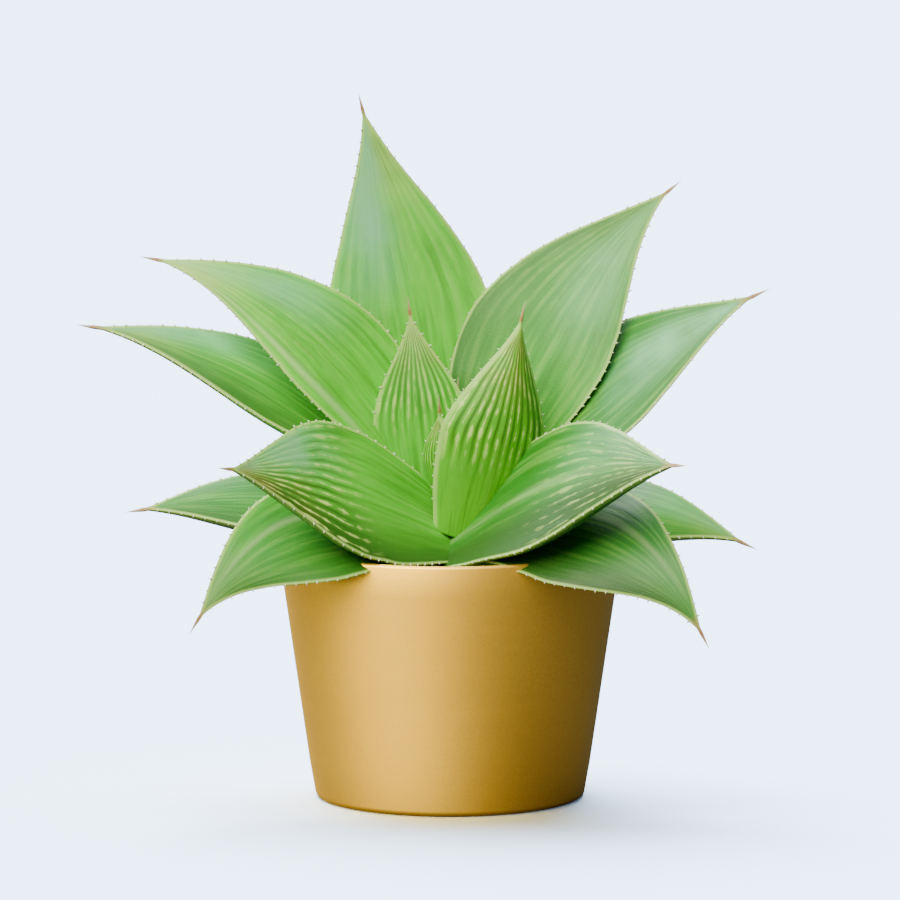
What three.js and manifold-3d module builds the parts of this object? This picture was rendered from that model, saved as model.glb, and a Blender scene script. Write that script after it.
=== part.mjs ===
// A potted haworthia: a rosette of thick, bristle-tipped leaves in a small tapered pot of gold-coloured
// sheet metal, with its soil and a top dressing of gravel. Millimetres, Z up. The origin is the middle
// of the pot's flat base, and the front of the plant faces -Y.

import * as THREE from 'three';
import { mergeVertices } from 'three/addons/utils/BufferGeometryUtils.js';
import Module from 'manifold-3d';

const wasm = await Module();
wasm.setup();

// Clearance between neighbouring pieces, how much more of it a leaf's thin margin needs, and the distance
// within which two vertices are one.
const gap = 0.3;
const marginGrowth = 3;
const mergeDistance = 1e-4;

// Pot: a straight taper with a rounded foot and a thin rounded lip.
const potHeight = 44.5;
const rimRadius = 30;
const footRadius = 23.5;
const wallThickness = 1;
const footRounding = 1.2;
const roundSegments = 56;

// Soil, and the gravel on it: a thin bed that holds its stones together. A stone is a rounded block whose
// size, depth and height vary within these shares, and it is tipped and turned by chance.
const soilTop = 37.5;
const gravelThickness = 1;
const gravelInnerRadius = 9.5;
const gravelSegments = 48;
const stoneCount = 44;
const stoneSize = 2.3;
const stoneSizes = [0.78, 1.08];
const stoneDepths = [0.72, 0.95];
const stoneHeights = [0.6, 0.8];
const stoneTilt = 20;
const stoneRise = 0.2;
const stoneEdgeClearance = [1.4, 2.4];
const stoneSeed = 11;
const goldenAngle = 137.508;

// Stem: a short stub, which the leaf bases clasp, straight in the soil and tapering above it.
const stemFoot = 28;
const stemTop = 55;
const stemRadius = 5;
const stemTipRadius = 3;
const stemTopRadius = 1.8;
const stemShoulder = 1;
const stemSegments = 24;

// What all leaves share: the margin's teeth, the bristle and the blunt end that carries it.
const toothPitch = 4;
const toothHeight = 0.4;
const firstTooth = 0.16;
const lastTooth = 0.93;
const bristleLength = 3.2;
const bristleRadius = 0.4;

// The leaves in the order in which they press on each other: each keeps its form, and those after it give
// way where they meet it. seat is the compass direction (0 is +X, 90 the back) and the height of the base
// on the stem, and its distance from the stem's middle where that isn't seatRadius. The next three run from
// the base to the tip: heading is the compass direction, rise the slope, and roll how far the upper face is
// turned about the leaf's own line. size is length, width and thickness, and base the share of the width
// that the leaf has at the stem, where that isn't baseWidthShare. Angles are in degrees.
const leaves = [
  // Young leaves of the heart.
  { seat: [305, 46], heading: [335, 335], rise: [72, 76], roll: [45, 50], size: [40, 19.5, 5.5], base: 0.6 },
  { seat: [195, 50.5], heading: [150, 150], rise: [86, 82], roll: [60, 60], size: [34, 17, 5], base: 0.6 },
  // Leaves that bow out over the front.
  { seat: [240, 44, 6], heading: [322, 312], rise: [35, 4], roll: [-40, -58], size: [60, 28, 6.5], base: 0.5 },
  { seat: [288, 47.2], heading: [219, 225], rise: [25, 8], roll: [45, 60], size: [54, 29, 6], base: 0.55 },
  // Spreading leaves of the sides and the tall one at the back.
  { seat: [15, 51.5], heading: [24, 24], rise: [75, 34], roll: [-40, -46], size: [66, 28.5, 5], base: 0.27 },
  { seat: [172, 51.5], heading: [174, 174], rise: [74, 9], roll: [42, 54], size: [66.5, 22, 5] },
  { seat: [0, 48.5], heading: [3, 3], rise: [54, 23], roll: [-20, -52], size: [63, 27, 5] },
  { seat: [182, 48.5], heading: [174, 174], rise: [54, 5], roll: [15, 42], size: [69, 21, 5] },
  { seat: [114, 51], heading: [120, 150], rise: [75, 73], roll: [28, 44], size: [70, 30, 5.5] },
  // The youngest leaf, in the middle.
  { seat: [60, 54, 1.5], heading: [60, 60], rise: [86, 86], roll: [0, 0], size: [16, 8, 3.5], base: 0.5 },
  // Old leaves that hang over the rim, and those that reach out beside them.
  { seat: [216, 46.5], heading: [234, 204], rise: [33, -56], roll: [2, 70], size: [58, 23.5, 5], base: 0.35 },
  { seat: [320, 46.5], heading: [301, 338], rise: [34, -61], roll: [2, -76], size: [61, 24.5, 5], base: 0.35 },
  { seat: [192, 45], heading: [192, 188], rise: [24, -9], roll: [5, 40], size: [51, 22, 5.5] },
  { seat: [346, 45], heading: [348, 352], rise: [28, -26], roll: [-5, -40], size: [49, 23, 5.5] },
  // Leaves of the back.
  { seat: [92, 48.8], heading: [92, 92], rise: [60, 40], roll: [0, 0], size: [58, 21, 5.5] },
  { seat: [48, 48.5], heading: [50, 50], rise: [46, 30], roll: [0, -6], size: [51, 20, 5.5] },
  { seat: [138, 48.5], heading: [136, 136], rise: [46, 26], roll: [0, 6], size: [58, 20, 5.5] },
  { seat: [40, 45], heading: [42, 42], rise: [26, 2], roll: [0, -8], size: [37, 17, 5.5] },
  { seat: [90, 45], heading: [89, 89], rise: [22, 0], roll: [0, 0], size: [52, 19, 5.5] },
  { seat: [138, 45], heading: [138, 138], rise: [24, 4], roll: [0, 8], size: [41, 18, 5.5] },
];

// How a leaf's width runs: a share of it at the base, all of it at the widest place, none at the tip.
const seatRadius = 4;
const baseWidthShare = 0.32;
const baseThicknessShare = 0.4;
const widestAt = 0.45;
const pointedness = 1.5;
const depthPower = 0.6;

// A leaf's section has two points on the upper face and three on the back, at these shares of the half
// width. The upper face is a shallow channel at the base and swells to a crown, both as shares of the width.
// The back is a full round with a share of keel in it.
const upperPlaces = [0.36, -0.36];
const lowerPlaces = [-0.62, 0, 0.62];
const channelDepth = 0.08;
const crownHeight = 0.05;
const crownPower = 1.5;
const roundPower = 2.6;
const roundRoot = 0.75;
const keelShare = 0.2;

const leafMaterial = new THREE.MeshStandardMaterial({ color: '#83b34e', roughness: 0.5, metalness: 0 });
const stemMaterial = new THREE.MeshStandardMaterial({ color: '#8fa35e', roughness: 0.7, metalness: 0 });
const potMaterial = new THREE.MeshStandardMaterial({ color: '#d9ab55', roughness: 0.4, metalness: 0.9 });
const soilMaterial = new THREE.MeshStandardMaterial({ color: '#3d2c20', roughness: 0.95, metalness: 0 });
const gravelMaterial = new THREE.MeshStandardMaterial({ color: '#ab9f80', roughness: 0.85, metalness: 0 });

const potted = new THREE.Group();

function addPiece(name, geometry, material) {
  const piece = new THREE.Mesh(geometry, material);
  piece.name = name;
  potted.add(piece);
}

// Closed geometry to a solid that can be cut and joined, and back.
function solidFrom(geometry) {
  const bare = geometry.clone();
  bare.deleteAttribute('normal');
  bare.deleteAttribute('uv');
  const merged = mergeVertices(bare, mergeDistance);
  return new wasm.Manifold(
    new wasm.Mesh({
      numProp: 3,
      vertProperties: new Float32Array(merged.attributes.position.array),
      triVerts: new Uint32Array(merged.index.array),
    })
  );
}

function geometryFrom(solid) {
  const mesh = solid.getMesh();
  const geometry = new THREE.BufferGeometry();
  geometry.setAttribute('position', new THREE.BufferAttribute(mesh.vertProperties, 3));
  geometry.setIndex(new THREE.BufferAttribute(mesh.triVerts, 1));
  geometry.computeVertexNormals();
  return geometry;
}

// A round body about Z from its profile of [radius, height] points, outwards and up.
function turned(profile, segments = roundSegments) {
  const points = profile.map(([radius, height]) => new THREE.Vector2(radius, height));
  return new THREE.LatheGeometry(points, segments).rotateX(Math.PI / 2);
}

// The same draws every time.
function seededDraw(seed) {
  let state = seed;
  return () => {
    state = (state * 16807) % 2147483647;
    return state / 2147483647;
  };
}

function degrees(angle) {
  return (angle * Math.PI) / 180;
}

function between(start, end, share) {
  return start + (end - start) * share;
}

// The pot's outer and inner wall radius at a height.
const taper = (rimRadius - footRadius) / potHeight;
const outerRadiusAt = (height) => footRadius + taper * height;
const innerRadiusAt = (height) => outerRadiusAt(height) - wallThickness;

function arcPoints(centreRadius, centreHeight, radius, fromAngle, toAngle, steps) {
  const points = [];
  for (let i = 0; i <= steps; i += 1) {
    const angle = degrees(between(fromAngle, toAngle, i / steps));
    points.push([centreRadius + radius * Math.cos(angle), centreHeight + radius * Math.sin(angle)]);
  }
  return points;
}

function makePot() {
  const lipRadius = wallThickness / 2;
  const lipHeight = potHeight - lipRadius;
  const lipCentre = outerRadiusAt(lipHeight) - lipRadius;
  const foot = arcPoints(footRadius - footRounding, footRounding, footRounding, -90, -8, 4);
  const lip = arcPoints(lipCentre, lipHeight, lipRadius, 0, 180, 6);
  const floorHeight = wallThickness;
  return turned([
    [0, 0],
    ...foot,
    ...lip,
    [innerRadiusAt(floorHeight), floorHeight],
    [0, floorHeight],
  ]);
}

function makeSoil() {
  const bottom = wallThickness + gap;
  const holeRadius = stemRadius + gap;
  const holeFloor = stemFoot - gap;
  return turned([
    [0, bottom],
    [innerRadiusAt(bottom) - gap, bottom],
    [innerRadiusAt(soilTop) - gap, soilTop],
    [holeRadius, soilTop],
    [holeRadius, holeFloor],
    [0, holeFloor],
  ]);
}

// Stones lie in a sunflower spiral on a thin bed, which holds them together as one layer.
function makeGravel() {
  const bottom = soilTop + gap;
  const top = bottom + gravelThickness;
  const outer = innerRadiusAt(bottom) - gap;
  const bed = turned([
    [gravelInnerRadius, bottom],
    [outer, bottom],
    [outer, top],
    [gravelInnerRadius, top],
    [gravelInnerRadius, bottom],
  ], gravelSegments);
  const draw = seededDraw(stoneSeed);
  const innerReach = gravelInnerRadius + stoneEdgeClearance[0];
  const outerReach = outer - stoneEdgeClearance[1];
  const stones = [];
  for (let i = 0; i < stoneCount; i += 1) {
    const share = (i + 0.5) / stoneCount;
    const reach = Math.sqrt(between(innerReach ** 2, outerReach ** 2, share));
    const angle = degrees(i * goldenAngle);
    const size = stoneSize * between(...stoneSizes, draw());
    const stone = new THREE.IcosahedronGeometry(size, 0);
    stone.scale(1, between(...stoneDepths, draw()), between(...stoneHeights, draw()));
    stone.rotateX(degrees(between(-stoneTilt, stoneTilt, draw())));
    stone.rotateZ(degrees(360 * draw()));
    stone.translate(reach * Math.cos(angle), reach * Math.sin(angle), top + size * stoneRise);
    stones.push(solidFrom(stone));
  }
  return geometryFrom(wasm.Manifold.union([solidFrom(bed), ...stones]));
}

function stemProfile(clearance) {
  return [
    [0, stemFoot - clearance],
    [stemRadius + clearance, stemFoot - clearance],
    [stemRadius + clearance, soilTop],
    [stemTipRadius + clearance, stemTop - stemShoulder],
    [stemTopRadius + clearance, stemTop + clearance],
    [0, stemTop + clearance],
  ];
}

// A unit vector that points along a compass direction at a slope.
function direction(azimuth, rise) {
  const [a, e] = [degrees(azimuth), degrees(rise)];
  return new THREE.Vector3(Math.cos(a) * Math.cos(e), Math.sin(a) * Math.cos(e), Math.sin(e));
}

// The leaf's middle line: it leaves the stem at one slope and ends at the other.
function leafLine({ seat, heading, rise, size }) {
  const start = direction(seat[0], 0).multiplyScalar(seat[2] ?? seatRadius).setZ(seat[1]);
  const out = direction(heading[0], rise[0]);
  const middle = direction(between(...heading, 0.5), between(...rise, 0.5));
  const end = direction(heading[1], rise[1]);
  const halfBend = Math.max(out.angleTo(end) / 2, 0.001);
  const tip = start.clone().addScaledVector(middle, (size[0] * Math.sin(halfBend)) / halfBend);
  return new THREE.CubicBezierCurve3(
    start,
    start.clone().addScaledVector(out, size[0] / 3),
    tip.clone().addScaledVector(end, -size[0] / 3),
    tip
  );
}

// Share of the full size at a place along the leaf, from baseShare at the base to nothing at the tip.
function fullness(place, baseShare) {
  if (place < widestAt) {
    return between(baseShare, 1, Math.sin((place / widestAt) * (Math.PI / 2)));
  }
  const past = (place - widestAt) / (1 - widestAt);
  return (1 - past ** pointedness) / 2 + (1 + Math.cos(Math.PI * past)) / 4;
}

// One ring of a leaf: right margin, upper face, left margin, keeled back.
function leafRing(leaf, line, place, tooth, grow) {
  const [, width, thickness] = leaf.size;
  const centre = line.getPoint(place);
  const along = line.getTangent(place);
  const facing = degrees(between(...leaf.heading, place));
  const level = new THREE.Vector3(Math.sin(facing), -Math.cos(facing), 0);
  const faceUp = new THREE.Vector3().crossVectors(level, along).normalize();
  const roll = degrees(between(...leaf.roll, place));
  const side = new THREE.Vector3().crossVectors(along, faceUp).applyAxisAngle(along, -roll);
  const up = faceUp.clone().applyAxisAngle(along, -roll);
  const widthShare = fullness(place, leaf.base ?? baseWidthShare);
  const halfWidth = Math.max((width / 2) * widthShare, bristleRadius);
  const depth = Math.max(thickness * fullness(place, baseThicknessShare) ** depthPower, 2 * bristleRadius);
  const swell = crownHeight * Math.sin(Math.PI * place ** crownPower) - channelDepth * (1 - place);
  const crown = 2 * halfWidth * swell;
  const round = (x) => (1 - Math.abs(x) ** roundPower) ** roundRoot;
  const back = (x) => -depth * between(round(x), 1 - Math.abs(x), keelShare);
  const at = (x, z) => centre.clone().addScaledVector(side, x).addScaledVector(up, z);
  const margin = halfWidth + tooth + marginGrowth * grow;
  return [
    at(margin, grow),
    ...upperPlaces.map((x) => at(x * (halfWidth + grow), crown * (1 - x * x) + grow)),
    at(-margin, grow),
    ...lowerPlaces.map((x) => at(x * (halfWidth + grow), back(x) - grow)),
  ];
}

// A leaf as a closed mesh, or, grown on all sides, the room that it takes up among its neighbours.
function makeLeaf(leaf, grow = 0) {
  const line = leafLine(leaf);
  const teeth = Math.round(leaf.size[0] / toothPitch);
  const rings = grow ? teeth : 2 * teeth;
  const vertices = [];
  const faces = [];
  for (let i = 0; i <= rings; i += 1) {
    const place = i / rings;
    const hasTooth = !grow && i % 2 === 1 && place > firstTooth && place < lastTooth;
    vertices.push(...leafRing(leaf, line, place, hasTooth ? toothHeight : 0, grow));
  }
  const ringSize = 2 + upperPlaces.length + lowerPlaces.length;
  for (let i = 0; i < rings; i += 1) {
    for (let j = 0; j < ringSize; j += 1) {
      const [a, b] = [i * ringSize + j, i * ringSize + ((j + 1) % ringSize)];
      const [c, d] = [a + ringSize, b + ringSize];
      faces.push(a, d, b, a, c, d);
    }
  }
  const last = rings * ringSize;
  const baseCentre = vertices.push(line.getPoint(0)) - 1;
  const bristleTip = line.getPoint(1).addScaledVector(line.getTangent(1), bristleLength);
  const tip = vertices.push(bristleTip) - 1;
  for (let j = 0; j < ringSize; j += 1) {
    const next = (j + 1) % ringSize;
    faces.push(baseCentre, j, next);
    faces.push(tip, last + next, last + j);
  }
  const geometry = new THREE.BufferGeometry().setFromPoints(vertices);
  geometry.setIndex(faces);
  return geometry;
}

addPiece('pot', makePot(), potMaterial);
addPiece('soil', makeSoil(), soilMaterial);
addPiece('gravel', makeGravel(), gravelMaterial);
addPiece('stem', turned(stemProfile(0), stemSegments), stemMaterial);

// Every leaf clasps the stem and gives way to the leaves before it.
let taken = solidFrom(turned(stemProfile(gap), stemSegments));
leaves.forEach((leaf, i) => {
  const pressed = solidFrom(makeLeaf(leaf)).subtract(taken);
  const [body] = pressed.decompose().sort((a, b) => b.volume() - a.volume());
  addPiece(`leaf_${String(i + 1).padStart(2, '0')}`, geometryFrom(body), leafMaterial);
  taken = taken.add(solidFrom(makeLeaf(leaf, gap)));
});

export default potted;
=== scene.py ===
import math

import bpy
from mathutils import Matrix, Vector, noise


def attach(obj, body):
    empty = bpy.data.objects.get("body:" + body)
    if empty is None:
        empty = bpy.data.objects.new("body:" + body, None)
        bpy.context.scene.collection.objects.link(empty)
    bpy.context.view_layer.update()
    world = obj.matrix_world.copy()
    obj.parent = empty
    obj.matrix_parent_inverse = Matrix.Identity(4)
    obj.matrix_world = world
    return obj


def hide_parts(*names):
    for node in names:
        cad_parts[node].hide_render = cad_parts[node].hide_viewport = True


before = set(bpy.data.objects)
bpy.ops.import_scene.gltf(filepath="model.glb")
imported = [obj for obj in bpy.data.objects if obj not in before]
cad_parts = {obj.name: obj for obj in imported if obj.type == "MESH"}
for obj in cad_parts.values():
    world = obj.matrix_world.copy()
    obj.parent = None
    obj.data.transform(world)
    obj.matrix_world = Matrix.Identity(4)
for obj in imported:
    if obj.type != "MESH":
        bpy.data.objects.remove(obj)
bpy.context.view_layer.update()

mm = 0.001
print("frame loaded:", len(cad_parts), "CAD nodes")


def linear(hexColour):  # sRGB hex to linear RGBA
    parts = [int(hexColour[i:i + 2], 16) / 255 for i in (1, 3, 5)]
    return [c / 12.92 if c <= 0.04045 else ((c + 0.055) / 1.055) ** 2.4 for c in parts] + [1.0]


# Fills a node's inputs with nodes, sockets or plain values, in order or by name from a dictionary.
def feed(node, *values):
    inputs = {}
    for number, value in enumerate(values):
        inputs.update(value if isinstance(value, dict) else {number: value})
    for key, value in inputs.items():
        if isinstance(value, bpy.types.Node):
            value = next(socket for socket in value.outputs if socket.enabled)
        if isinstance(value, bpy.types.NodeSocket):
            node.id_data.links.new(value, node.inputs[key])
        else:
            node.inputs[key].default_value = value


# Settings that many nodes share.
rgba = {"data_type": "RGBA"}
vector = {"data_type": "FLOAT_VECTOR"}
smooth = {"interpolation_type": "SMOOTHSTEP"}


# Gives the function that adds a node to the tree, with its inputs and settings. A node's kind is what follows
# "Node" in the name of its type, with its operation after a space where it has one.
def nodeAdder(tree):
    def add(kind, *values, **settings):
        kind, *operation = kind.split()
        names = [family + "Node" + kind for family in ("Shader", "Geometry", "Function", "")]
        node = tree.nodes.new(next(name for name in names if hasattr(bpy.types, name)))
        if operation:
            node.operation = operation[0]
        for name, value in settings.items():
            setattr(node, name, value)
        feed(node, *values)
        return node
    return add


def newTree(name, inputs):  # a Geometry Nodes group with these named inputs and one mesh out
    tree = bpy.data.node_groups.new(name, "GeometryNodeTree")
    for label, kind in inputs.items():
        tree.interface.new_socket(name=label, in_out="INPUT", socket_type="NodeSocket" + kind)
    tree.interface.new_socket(name="Mesh", in_out="OUTPUT", socket_type="NodeSocketGeometry")
    node = nodeAdder(tree)
    return tree, node, node("GroupInput").outputs


def newObject(name, data):
    thing = bpy.data.objects.new(name, data)
    bpy.context.scene.collection.objects.link(thing)
    return thing


def growPiece(name, tree, values):  # runs the tree once and keeps its result as a plain mesh
    piece = newObject(name, bpy.data.meshes.new(name))
    modifier = piece.modifiers.new("grow", "NODES")
    modifier.node_group = tree
    for socket in tree.interface.items_tree:
        if socket.in_out == "INPUT":
            modifier[socket.identifier] = values[socket.name]
    graph = bpy.context.evaluated_depsgraph_get()
    mesh = bpy.data.meshes.new_from_object(piece.evaluated_get(graph))
    piece.modifiers.remove(modifier)
    mesh.name = name
    piece.data = mesh
    return piece


def turnedPiece(name, profile, segments, material):  # a closed round body from [radius, height] in mm
    verts, rings = [], []
    for radius, height in profile:
        if radius == 0:
            rings.append([len(verts)] * segments)
            verts.append((0, 0, height * mm))
            continue
        rings.append(list(range(len(verts), len(verts) + segments)))
        for k in range(segments):
            angle = math.tau * k / segments
            verts.append((radius * mm * math.cos(angle), radius * mm * math.sin(angle), height * mm))
    faces = []
    for low, high in zip(rings, rings[1:]):
        for k in range(segments):
            after = (k + 1) % segments
            corners = [low[k], low[after], high[after], high[k]]
            faces.append(list(dict.fromkeys(corners)))
    mesh = bpy.data.meshes.new(name)
    mesh.from_pydata(verts, [], faces)
    mesh.shade_smooth()
    mesh.materials.append(material)
    return newObject(name, mesh)


def arc(centreRadius, centreHeight, radius, fromAngle, toAngle, steps):  # profile points, angles in degrees
    points = []
    for i in range(steps + 1):
        angle = math.radians(fromAngle + (toAngle - fromAngle) * i / steps)
        points.append((centreRadius + radius * math.cos(angle), centreHeight + radius * math.sin(angle)))
    return points


def newMaterial(name):
    material = bpy.data.materials.new(name)
    material.use_nodes = True
    return material, nodeAdder(material.node_tree)


def grainedSkin(material, node, here, colour, look):  # a grain that roughens the surface and stands out of it
    grain = node("TexNoise", here, {"Scale": 1 / look["grain"], "Detail": 3.0})
    rough = node("MapRange", grain, 0.0, 1.0, *look["roughness"])
    bump = node("Bump", {"Height": grain, "Strength": look["bump"], "Distance": look["relief"]})
    feed(material.node_tree.nodes["Principled BSDF"], {
        "Base Color": colour, "Roughness": rough, "Normal": bump})


def place(piece, nodeName):  # the piece stands in for the node and moves with the part
    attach(piece, "root")
    if nodeName:
        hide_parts(nodeName)


# Camera at the photograph's viewing angle.
view = {"from": (0, -1.5, 0.26), "at": (0, 0, 0.0606), "lens": 349, "sensor": 36}
cameraData = bpy.data.cameras.new("camera")
cameraData.lens = view["lens"]
cameraData.sensor_width = view["sensor"]
camera = newObject("camera", cameraData)
camera.location = view["from"]
camera.rotation_euler = (Vector(view["at"]) - Vector(view["from"])).to_track_quat("-Z", "Y").to_euler()
bpy.context.scene.camera = camera
print("camera set")


# Each leaf as it grows: the compass direction and height of its seat on the stem, where it heads at base and
# tip, its slope and roll there, and its length, width and thickness, in degrees and millimetres. base is its
# width at the stem, as a share of the full width. age is how old it is and also how far it is painted darker,
# painted shade for the leaves that sit in shade; windows is how clearly its clear streaks show and from what
# share of its length. Its sheen band is where the painted sheen, a pale bluish colour for the sky's
# reflection in the waxy skin, lies thickest across it and how strong it is, and stripe is the same for a
# narrow pale stripe, a painted highlight along the ridge where the face turns. shade is painted shade: how
# much darker one side is, the right one, seen from the base, or the left one where it is negative. tuck is
# how far the foot is pressed under the leaf above, and seatRadius how far from the stem's axis it starts.
leaves = {
    # Young leaves of the heart.
    "leaf_01": {"seat": (305, 46), "heading": (335, 335), "rise": (72, 76), "roll": (45, 50),
                "size": (40, 19.5, 5.5), "base": 0.6, "sheenBand": (-0.3, 0.15), "windows": (1.0, 0.3)},
    "leaf_02": {"seat": (195, 50.5), "heading": (150, 150), "rise": (86, 82), "roll": (60, 60),
                "size": (34, 17, 5), "base": 0.6, "sheenBand": (0.0, 0.1), "windows": (0.7, 0.35)},
    # Leaves that bow out over the front.
    "leaf_03": {"seat": (240, 44), "seatRadius": 6, "heading": (322, 312), "rise": (35, 4),
                "roll": (-40, -58), "size": (60, 28, 6.5), "base": 0.5, "age": 1.0, "sheenBand": (-0.6, 0.2),
                "windows": (0.35, 0.4), "shade": 0.9, "stripe": (0.0, 0.25)},
    "leaf_04": {"seat": (288, 47.2), "heading": (219, 225), "rise": (25, 8), "roll": (45, 60),
                "size": (54, 29, 6), "base": 0.55, "age": 0.1, "sheenBand": (0.6, 1.0), "windows": (1.0, 0.4),
                "shade": -0.5},
    # Spreading leaves of the sides and the tall one at the back.
    "leaf_05": {"seat": (15, 51.5), "heading": (24, 24), "rise": (75, 34), "roll": (-40, -46),
                "size": (66, 28.5, 5), "base": 0.27, "age": 0.7, "sheenBand": (0.3, 0.5), "windows": (0.1, 0.4),
                "shade": -0.3},
    "leaf_06": {"seat": (172, 51.5), "heading": (174, 174), "rise": (74, 9), "roll": (42, 54),
                "size": (66.5, 22, 5), "sheenBand": (0.45, 0.75), "windows": (0.15, 0.35),
                "stripe": (-0.75, 0.5)},
    "leaf_07": {"seat": (0, 48.5), "heading": (3, 3), "rise": (54, 23), "roll": (-20, -52),
                "size": (63, 27, 5), "age": 1.0, "sheenBand": (0.15, 1.0), "shade": 0.12},
    "leaf_08": {"seat": (182, 48.5), "heading": (174, 174), "rise": (54, 5), "roll": (15, 42),
                "size": (69, 21, 5), "age": 0.65, "sheenBand": (0.55, 0.6), "shade": -0.4},
    "leaf_09": {"seat": (114, 51), "heading": (120, 150), "rise": (75, 73), "roll": (28, 44),
                "size": (70, 30, 5.5), "age": 0.05, "sheenBand": (-0.5, 1.0), "windows": (0.12, 0.4)},
    # The youngest leaf, in the middle.
    "leaf_10": {"seat": (60, 54), "seatRadius": 1.5, "heading": (60, 60), "rise": (86, 86),
                "size": (16, 8, 3.5), "base": 0.5, "sheenBand": (0.0, 0.1), "windows": (1.0, 0.3)},
    # Two budding leaves that close the heart and only show from above.
    "bud_21": {"seat": (250, 53), "seatRadius": 1.6, "heading": (240, 240), "rise": (80, 82),
               "size": (15, 8.5, 3), "base": 0.5, "sheenBand": (0.0, 0.1), "windows": (1.0, 0.3)},
    "bud_22": {"seat": (330, 53), "seatRadius": 1.2, "heading": (350, 350), "rise": (84, 86),
               "size": (12, 6.5, 2.5), "base": 0.5, "sheenBand": (0.0, 0.1), "windows": (1.0, 0.3)},
    # Old leaves that hang over the rim, and those that reach out beside them.
    "leaf_11": {"seat": (216, 46.5), "heading": (234, 204), "rise": (33, -56), "roll": (2, 70),
                "size": (58, 23.5, 5), "base": 0.35, "age": 0.75, "sheenBand": (0.2, 0.12), "shade": -0.3,
                "stripe": (0.35, 0.6), "tuck": 7},
    "leaf_12": {"seat": (320, 46.5), "heading": (301, 338), "rise": (34, -61), "roll": (2, -76),
                "size": (61, 24.5, 5), "base": 0.35, "age": 1.0, "sheenBand": (-0.3, 0.05), "shade": 0.5,
                "stripe": (-0.4, 0.5), "tuck": 7},
    "leaf_13": {"seat": (192, 45), "heading": (192, 188), "rise": (24, -9), "roll": (5, 40),
                "size": (51, 22, 5.5), "age": 1.0, "sheenBand": (0.3, 0.0), "shade": -0.4},
    "leaf_14": {"seat": (346, 45), "heading": (348, 352), "rise": (28, -26), "roll": (-5, -40),
                "size": (49, 23, 5.5), "age": 0.75, "sheenBand": (-0.4, 0.35)},
    # Leaves of the back.
    "leaf_15": {"seat": (92, 48.8), "heading": (92, 92), "rise": (60, 40),
                "size": (58, 21, 5.5), "age": 0.5, "sheenBand": (0.2, 0.7), "windows": (0.2, 0.5)},
    "leaf_16": {"seat": (48, 48.5), "heading": (50, 50), "rise": (46, 30), "roll": (0, -6),
                "size": (51, 20, 5.5), "age": 0.6, "sheenBand": (-0.3, 0.7), "windows": (0.2, 0.5)},
    "leaf_17": {"seat": (138, 48.5), "heading": (136, 136), "rise": (46, 26), "roll": (0, 6),
                "size": (58, 20, 5.5), "age": 0.6, "sheenBand": (0.3, 0.7), "windows": (0.2, 0.5)},
    "leaf_18": {"seat": (40, 45), "heading": (42, 42), "rise": (26, 2), "roll": (0, -8),
                "size": (37, 17, 5.5), "age": 0.85, "sheenBand": (-0.2, 0.5)},
    "leaf_19": {"seat": (90, 45), "heading": (89, 89), "rise": (22, 0),
                "size": (52, 19, 5.5), "age": 0.85, "sheenBand": (0.2, 0.5)},
    "leaf_20": {"seat": (138, 45), "heading": (138, 138), "rise": (24, 4), "roll": (0, 8),
                "size": (41, 18, 5.5), "age": 0.85, "sheenBand": (0.2, 0.5)},
}

# What holds for a leaf that doesn't say otherwise.
usualLeaf = {
    "seatRadius": 4, "roll": (0, 0), "base": 0.32, "age": 0.0, "windows": (0.0, 0.4), "stripe": (0.0, 0.0),
    "shade": 0.0, "tuck": 0,
}

# What all leaves share. Sizes are in metres, places along the leaf are shares of its length.
leafForm = {
    "rings": 150, "around": 56, "weld": 0.002 * mm,
    "widestAt": 0.45, "pointedness": 1.5, "baseDepth": 0.4, "depthPower": 0.6,
    "channel": 0.08, "crown": 0.05, "crownPower": 1.5, "roundPower": 2.6, "roundRoot": 0.75, "keel": 0.2,
    "edge": 0.3 * mm,  # how far the margin's rounding swells the upper face
    "bristleShare": 0.07, "bristleLength": 3.2 * mm, "bristleRadius": 0.32 * mm,
    "ribs": 9, "ribHeight": 0.07 * mm,
    "dents": 0.45 * mm, "dentSize": 11 * mm, "dentScale": 0.8,
    "marginWander": 0.05, "wanderFade": (0.25, 0.75),
    "toothPitch": 1.9 * mm, "toothHeight": 0.62 * mm, "toothRadius": 0.24 * mm, "toothPoint": 0.03 * mm,
    "toothRoot": 0.16 * mm, "toothLean": 0.7, "toothSizes": (0.55, 1.05),
    "firstTooth": 0.14, "lastTooth": 0.95,
}

leafInputs = {
    **dict.fromkeys(("Seat", "Seat Handle", "Tip Handle", "Tip"), "Vector"),
    **dict.fromkeys((
        "Heading At Base", "Heading At Tip", "Roll At Base", "Roll At Tip", "Length", "Width", "Thickness",
        "Base Share", "Age", "Seed", "Windows", "Windows From", "SheenBand At", "SheenBand", "Stripe At", "Stripe",
        "Shade"), "Float"),
    "Teeth": "Int", "Material": "Material",
}

# What a leaf hands to its material: three of its inputs in each attribute.
leafNotes = {
    "leafKind": ("Windows", "Age", "Seed"),
    "leafBloom": ("SheenBand At", "SheenBand", "Windows From"),
    "leafStripe": ("Stripe At", "Stripe", "Shade"),
}


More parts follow.
